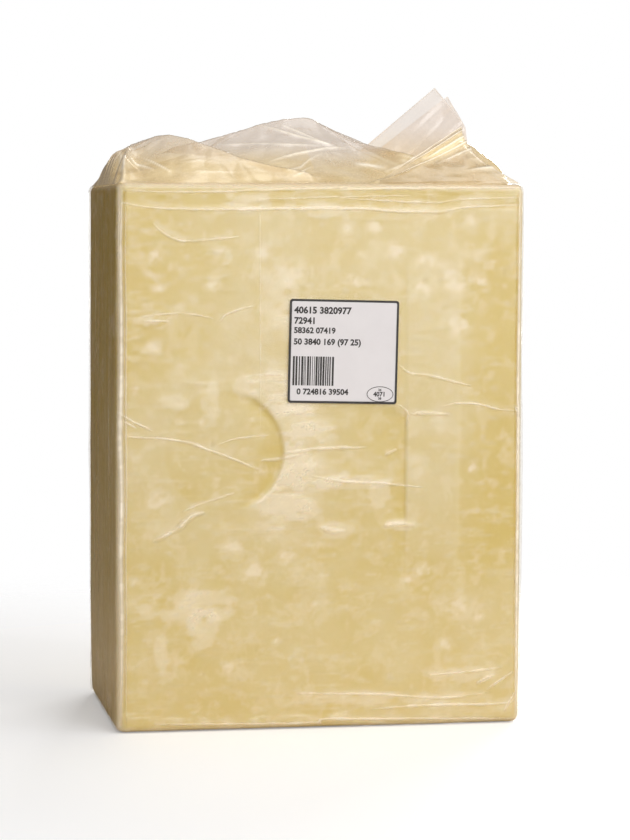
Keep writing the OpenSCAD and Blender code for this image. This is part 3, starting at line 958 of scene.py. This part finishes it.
def blend(tree, share, low, high):
    """Two colours mixed by a share."""
    return add_node(tree, "ShaderNodeMix", {0: share, 6: low, 7: high}, data_type="RGBA").outputs[2]


def maths(tree, kind, *values, clamp=False):
    """A sum, product or other result of some values."""
    node = add_node(tree, "ShaderNodeMath", dict(enumerate(values)), operation=kind, use_clamp=clamp)
    return node.outputs[0]


def ranged(tree, value, low, high, out_low=0.0, out_high=1.0):
    """A value moved softly from one range to another."""
    node = add_node(tree, "ShaderNodeMapRange", {"Value": value, "From Min": low, "From Max": high,
                                                 "To Min": out_low, "To Max": out_high},
                    interpolation_type="SMOOTHSTEP")
    return node.outputs["Result"]


def bumped(tree, strength, distance, height):
    """A normal with fine relief from a height."""
    node = add_node(tree, "ShaderNodeBump", {"Strength": strength, "Distance": distance, "Height": height})
    return node.outputs["Normal"]


def mix_shaders(tree, share, first, second):
    """One shader laid over another by a share."""
    return add_node(tree, "ShaderNodeMixShader", {0: share, 1: first.outputs[0], 2: second.outputs[0]})


def put_on_surface(tree, shade, kind="ShaderNodeOutputMaterial"):
    """The finished shader, joined to the tree's output."""
    add_node(tree, kind, {"Surface": shade.outputs[0]})


def new_group(name, inputs, outputs):
    """An empty node group with numbers for its inputs and outputs."""
    group = bpy.data.node_groups.new(name, "ShaderNodeTree")
    for key, value in inputs.items():
        socket = group.interface.new_socket(name=key, in_out="INPUT", socket_type="NodeSocketFloat")
        socket.default_value = value
    for key in outputs:
        group.interface.new_socket(name=key, in_out="OUTPUT", socket_type="NodeSocketFloat")
    return group, group.nodes.new("NodeGroupInput").outputs, group.nodes.new("NodeGroupOutput").inputs


def lumps_group():
    """Uneven lumps at two sizes, for curds, haze, paper and ink."""
    group, given, result = new_group(
        "uneven lumps", {"Coarse": 40.0, "Fine": 300.0, "Low": 0.35, "High": 0.65}, ["Mask", "Grain"])
    place = add_node(group, "ShaderNodeTexCoord").outputs["Object"]
    coarse = add_node(group, "ShaderNodeTexNoise", {"Vector": place, "Scale": given["Coarse"], "Detail": 4.0,
                                                    "Roughness": 0.6, "Distortion": 0.4})
    fine = add_node(group, "ShaderNodeTexNoise", {"Vector": place, "Scale": given["Fine"], "Detail": 3.0})
    spread = ranged(group, coarse.outputs["Fac"], given["Low"], given["High"])
    group.links.new(spread, result["Mask"])
    group.links.new(fine.outputs["Fac"], result["Grain"])
    return group


def lumps(tree, group, **values):
    """The lumps, placed in a material with its own values."""
    inputs = {key.capitalize(): value for key, value in values.items()}
    node = add_node(tree, "ShaderNodeGroup", inputs, node_tree=group)
    return node.outputs["Mask"], node.outputs["Grain"]


PALE_CHEESE = (0.75, 0.64, 0.345, 1)
DEEP_CHEESE = (0.69, 0.54, 0.16, 1)
WHITE_CURD = (0.90, 0.80, 0.60, 1)
# The milky tint also paints highlight lines along the rims and rounded edges, and bounce light low on the
# left side.
MILKY_GAP_AND_PAINTED_LIGHT = (0.94, 0.85, 0.64, 1)
PIT_SHADE = (0.50, 0.36, 0.15, 1)
SUBSURFACE_REACH = (1.0, 0.55, 0.22)


def make_cheddar(group):
    """Cheddar, mottled and knit from curds, deeper where the film touches it and milky where it doesn't, with
    painted shade and painted light carried in these masks.
    """
    material, tree = shader("cheddar")
    patches, grain = lumps(tree, group, coarse=22.0, fine=420.0, low=0.35, high=0.65)
    knit, _ = lumps(tree, group, coarse=75.0, fine=900.0, low=0.5, high=0.66)
    colour = blend(tree, mask(tree, "contact_and_shade"), PALE_CHEESE, DEEP_CHEESE)
    for cover, strength, tint in (
            (patches, 0.28, DEEP_CHEESE), (knit, 0.22, WHITE_CURD),
            (mask(tree, "pale_curd"), 0.8, WHITE_CURD), (mask(tree, "milk_and_painted_light"), 0.78, MILKY_GAP_AND_PAINTED_LIGHT),
            (mask(tree, "pits"), 0.35, PIT_SHADE)):
        colour = blend(tree, maths(tree, "MULTIPLY", cover, strength), colour, tint)
    put_on_surface(tree, add_node(tree, "ShaderNodeBsdfPrincipled", {
        "Base Color": colour, "Roughness": ranged(tree, grain, 0.3, 0.7, 0.42, 0.58),
        "Normal": bumped(tree, 0.2, 0.0004, grain), "IOR": 1.45, "Subsurface Weight": 0.15,
        "Subsurface Radius": SUBSURFACE_REACH, "Subsurface Scale": 0.006}))
    return material


# The colour of painted highlights on the film.
GLINT = (0.97, 0.90, 0.76, 1)
EDGE_SHADE = (0.40, 0.32, 0.24, 1)
VEIL = (0.9, 0.88, 0.86, 1)
FILM_IOR = 1.5


def make_film(group, name, clear_tints, hazes, haze_strength, clear_haze, crease_size, crease_bump,
              gloss_limit, painted_glow, edge_shade):
    """Clear bag film: see-through, glossy, and hazy where it is creased or stands off the cheese, with
    painted highlights, a painted glow, and painted shade at turned edges and along crests.
    """
    material, tree = shader(name)
    veil, grain = lumps(tree, group, coarse=crease_size, fine=700.0, low=0.4, high=0.75)
    place = add_node(tree, "ShaderNodeTexCoord").outputs["Object"]
    stretched = add_node(tree, "ShaderNodeMapping", {"Vector": place, "Scale": (1.0, 1.0, 2.6)})
    crease = add_node(tree, "ShaderNodeTexNoise", {
        "Vector": stretched.outputs["Vector"], "Scale": crease_size, "Detail": 5.0, "Roughness": 0.55,
        "Distortion": 0.8}, noise_type="RIDGED_MULTIFRACTAL")
    normal = bumped(tree, crease_bump, 0.001, crease.outputs["Fac"])
    warmth, glint = mask(tree, "warmth"), mask(tree, "glint")
    cloud = add_node(tree, "ShaderNodeTexNoise", {"Vector": place, "Scale": 55.0, "Detail": 4.0})
    uneven = ranged(tree, cloud.outputs["Fac"], 0.35, 0.65, 0.7, 1.15)
    haze = maths(tree, "MULTIPLY", mask(tree, "haze"), uneven)
    share = maths(tree, "MULTIPLY_ADD", haze, haze_strength, clear_haze, clamp=True)
    share = maths(tree, "MULTIPLY_ADD", glint, 0.45, share, clamp=True)
    colour = blend(tree, maths(tree, "MULTIPLY", veil, 0.25), blend(tree, warmth, *hazes), VEIL)
    colour = blend(tree, glint, colour, GLINT)
    if edge_shade:
        facing = add_node(tree, "ShaderNodeLayerWeight", {"Blend": 0.5}).outputs["Facing"]
        turned = ranged(tree, facing, 0.78, 0.97, 0.0, edge_shade)
        # The outline mask adds a painted shade line along crests and cut edges.
        turned = maths(tree, "MULTIPLY_ADD", mask(tree, "outline"), 0.5, turned, clamp=True)
        share = maths(tree, "ADD", share, turned, clamp=True)
        colour = blend(tree, turned, colour, EDGE_SHADE)
    # The milky film glows with painted light, as if lit through.
    milky = add_node(tree, "ShaderNodeBsdfPrincipled", {
        "Base Color": colour, "Roughness": ranged(tree, grain, 0.3, 0.7, 0.16, 0.3), "Normal": normal,
        "IOR": FILM_IOR, "Emission Color": colour, "Emission Strength": painted_glow})
    clear = add_node(tree, "ShaderNodeBsdfTransparent", {"Color": blend(tree, warmth, *clear_tints)})
    gloss = add_node(tree, "ShaderNodeBsdfAnisotropic", {
        "Color": (1, 1, 1, 1), "Roughness": 0.26, "Normal": normal})
    mirror = add_node(tree, "ShaderNodeFresnel", {"IOR": FILM_IOR, "Normal": normal}).outputs[0]
    body = mix_shaders(tree, share, clear, milky)
    put_on_surface(tree, mix_shaders(tree, maths(tree, "MINIMUM", mirror, gloss_limit), body, gloss))
    return material


def make_paper(group):
    """White paper, slightly clouded, with a fine tooth."""
    material, tree = shader("label paper")
    cloud, grain = lumps(tree, group, coarse=60.0, fine=1800.0, low=0.3, high=0.7)
    colour = blend(tree, maths(tree, "MULTIPLY", cloud, 0.5), (0.79, 0.775, 0.80, 1), (0.75, 0.735, 0.76, 1))
    put_on_surface(tree, add_node(tree, "ShaderNodeBsdfPrincipled", {
        "Base Color": colour, "Roughness": ranged(tree, grain, 0.3, 0.7, 0.5, 0.65),
        "Normal": bumped(tree, 0.15, 0.0002, grain)}))
    return material


def make_ink(group):
    """Matt black ink, a little uneven."""
    material, tree = shader("label ink")
    cloud, grain = lumps(tree, group, coarse=120.0, fine=2200.0, low=0.3, high=0.7)
    put_on_surface(tree, add_node(tree, "ShaderNodeBsdfPrincipled", {
        "Base Color": blend(tree, cloud, (0.018, 0.016, 0.015, 1), (0.04, 0.037, 0.035, 1)),
        "Roughness": ranged(tree, grain, 0.3, 0.7, 0.4, 0.6)}))
    return material


# ---- floor, light and camera

# In metres: how far the floor reaches, and where it starts and ends its fade.
FLOOR_REACH = 1.3
FLOOR_FADE = (0.32, 0.78)
FLOOR_RINGS, FLOOR_STEPS = 24, 64
FLOOR_TINT, FLOOR_BOUNCE = (0.86, 0.865, 0.88, 1), (0.61, 0.51, 0.41, 1)
FLOOR_GLOW, FLOOR_GLOW_TINT = 0.32, (0.92, 0.96, 1, 1)
ROOM_TINT, ROOM_STRENGTH = (1.0, 0.75, 0.50, 1), 0.12


def make_floor():
    """A pale floor that fades into the white surroundings."""
    radius = np.linspace(0.0, FLOOR_REACH / MM, FLOOR_RINGS)[1:]
    angle = np.radians(np.arange(FLOOR_STEPS) * 360 / FLOOR_STEPS)
    points = [np.column_stack([r * np.cos(angle), r * np.sin(angle), 0 * angle]) for r in radius]
    faces = loop_faces(FLOOR_RINGS - 1, FLOOR_STEPS) + [list(range(FLOOR_STEPS))]
    material, tree = shader("pale floor")
    place = add_node(tree, "ShaderNodeTexCoord").outputs["Object"]
    far = add_node(tree, "ShaderNodeVectorMath", {0: place}, operation="LENGTH").outputs["Value"]
    shine = add_node(tree, "ShaderNodeBsdfPrincipled", {
        "Base Color": FLOOR_TINT, "Roughness": 0.6, "Emission Color": FLOOR_GLOW_TINT,
        "Emission Strength": FLOOR_GLOW})
    dim = add_node(tree, "ShaderNodeBsdfDiffuse", {"Color": FLOOR_BOUNCE})
    seen = add_node(tree, "ShaderNodeLightPath").outputs["Is Camera Ray"]
    clear = add_node(tree, "ShaderNodeBsdfTransparent")
    shown = mix_shaders(tree, seen, dim, shine)
    put_on_surface(tree, mix_shaders(tree, ranged(tree, far, *FLOOR_FADE), shown, clear))
    floor = add_piece("floor", np.concatenate(points), faces, material)


def make_surroundings():
    """Plain white behind the block, and soft warm light from all round."""
    world = bpy.data.worlds.new("studio")
    bpy.context.scene.world = world
    world.use_nodes = True
    tree = world.node_tree
    tree.nodes.clear()
    white = add_node(tree, "ShaderNodeBackground", {"Color": (1, 1, 1, 1), "Strength": 1.0})
    around = add_node(tree, "ShaderNodeBackground", {"Color": ROOM_TINT, "Strength": ROOM_STRENGTH})
    seen = add_node(tree, "ShaderNodeLightPath").outputs["Is Camera Ray"]
    put_on_surface(tree, mix_shaders(tree, seen, around, white), "ShaderNodeOutputWorld")


# The softboxes: name, place, width and height in metres, and watts. Each looks at the middle of the block.
LIGHTS_AIM = (0, 0, 0.2)
SOFTBOXES = [
    ("key", (0.5, -2.4, 0.95), 1.8, 1.8, 35.5),
    ("top", (0.7, -0.5, 2.1), 2.2, 2.2, 24),
    ("back", (1.0, 2.1, 0.6), 1.4, 0.9, 42),
    ("left edge", (-1.45, -1.5, 0.5), 0.06, 1.3, 7),
    ("right edge", (1.5, -1.1, 0.5), 0.06, 1.3, 5),
]


def make_lights():
    """White softboxes round the block."""
    for name, place, width, height, watts in SOFTBOXES:
        data = bpy.data.lights.new(name, "AREA")
        data.shape = "RECTANGLE"
        data.size, data.size_y = width, height
        data.energy = watts
        lamp = put_in_scene(name, data)
        lamp.location = place
        lamp.rotation_mode = "QUATERNION"
        lamp.rotation_quaternion = (Vector(LIGHTS_AIM) - Vector(place)).to_track_quat("-Z", "Y")


CAMERA_PLACE = (-0.3364, -1.9026, 0.3456)
CAMERA_YAW, CAMERA_PITCH, CAMERA_ROLL = (math.radians(a) for a in (10.364, -4.188, 0.267))
CAMERA_LENS, SENSOR_WIDTH = 117.4, 36


def make_camera():
    """The camera in front of the block, a little to its left, turned a little about each axis."""
    data = bpy.data.cameras.new("camera")
    data.lens, data.sensor_width = CAMERA_LENS, SENSOR_WIDTH
    data.clip_start, data.clip_end = 0.05, 20
    camera = put_in_scene("camera", data)
    level_reach = math.cos(CAMERA_PITCH)
    forward = Vector((math.sin(CAMERA_YAW) * level_reach, math.cos(CAMERA_YAW) * level_reach,
                      math.sin(CAMERA_PITCH)))
    level = Vector((math.cos(CAMERA_YAW), -math.sin(CAMERA_YAW), 0))
    upward = level.cross(forward)
    right = math.cos(CAMERA_ROLL) * level + math.sin(CAMERA_ROLL) * upward
    up = math.cos(CAMERA_ROLL) * upward - math.sin(CAMERA_ROLL) * level
    turn = Matrix((right, up, -forward)).transposed()
    camera.matrix_world = Matrix.Translation(CAMERA_PLACE) @ turn.to_4x4()
    bpy.context.scene.camera = camera


# ---- the whole

# Tints of the film, each as a cool one and a warm one: light through it, and its milky look.
SKIN_TINTS = {"clear_tints": ((0.985, 0.98, 0.97, 1), (0.98, 0.97, 0.95, 1)),
              "hazes": ((0.95, 0.87, 0.70, 1), (0.95, 0.87, 0.67, 1))}
LOOSE_CLEARS = ((0.87, 0.83, 0.80, 1), (0.90, 0.80, 0.62, 1))
LOOSE_HAZES = ((0.74, 0.68, 0.63, 1), (0.76, 0.63, 0.38, 1))
GOLD_HAZES = ((0.57, 0.46, 0.29, 1), (0.78, 0.63, 0.33, 1))

bpy.context.scene.view_settings.view_transform = "Standard"
make_camera()
make_surroundings()
make_lights()
make_floor()

uneven_lumps = lumps_group()
skin_film = make_film(uneven_lumps, "tight film", **SKIN_TINTS, haze_strength=0.14, clear_haze=0.01,
                      crease_size=30.0, crease_bump=0.08, gloss_limit=0.07, painted_glow=0.0, edge_shade=0.0)
fold_film = make_film(uneven_lumps, "folded film", **SKIN_TINTS, haze_strength=0.62, clear_haze=0.0,
                      crease_size=60.0, crease_bump=0.10, gloss_limit=0.10, painted_glow=0.14, edge_shade=0.0)
loose_film = make_film(uneven_lumps, "loose film", LOOSE_CLEARS, LOOSE_HAZES, haze_strength=0.70,
                       clear_haze=0.08, crease_size=40.0, crease_bump=0.17, gloss_limit=0.12, painted_glow=0.30,
                       edge_shade=0.8)
flap_film = make_film(uneven_lumps, "folded corner film", LOOSE_CLEARS, GOLD_HAZES, haze_strength=0.85,
                      clear_haze=0.10, crease_size=40.0, crease_bump=0.15, gloss_limit=0.2, painted_glow=0.18,
                      edge_shade=0.6)
make_cheese(make_cheddar(uneven_lumps))
make_film_skin(skin_film)
make_film_folds(fold_film)
make_film_tent(loose_film)
make_film_flap(flap_film)
make_film_ear(loose_film)
make_label(make_paper(uneven_lumps), make_ink(uneven_lumps))
